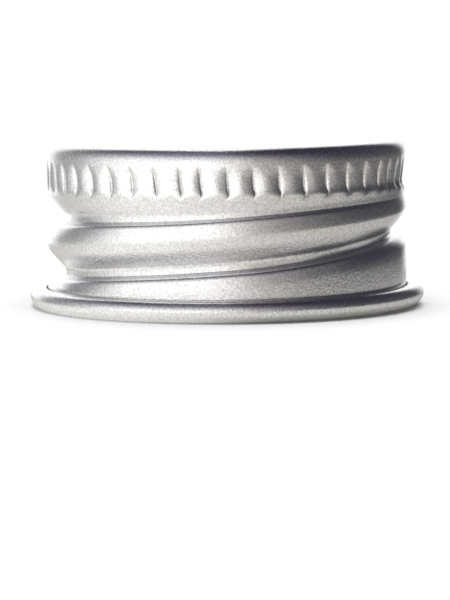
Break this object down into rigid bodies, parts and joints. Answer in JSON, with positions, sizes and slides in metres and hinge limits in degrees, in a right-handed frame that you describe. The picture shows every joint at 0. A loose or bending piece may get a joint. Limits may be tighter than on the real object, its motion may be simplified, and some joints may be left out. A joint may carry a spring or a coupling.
{
  "type": "aluminium screw bottle cap",
  "caption": "Rolled sheet-aluminium screw cap with a knurled band, thread grooves, curled rim and foam liner, for closing a threaded bottle neck.",
  "frame": {"origin": "on the cap's axis, in the plane that the curled rim rests on", "axes": "+Z along the cap's axis from the open rim to the top panel; -Y is the side that the view shows in front"},
  "size_m": [0.023, 0.023, 0.0096],
  "materials": {
    "shell_aluminium": "bare satin sheet with fine grain, polished lightly on the rolled crests",
    "liner_foam": "white expanded polyethylene foam"
  },
  "bodies": {
    "root": {"cap_shell": "shell_aluminium", "sealing_liner": "liner_foam"}
  },
  "joints": []
}
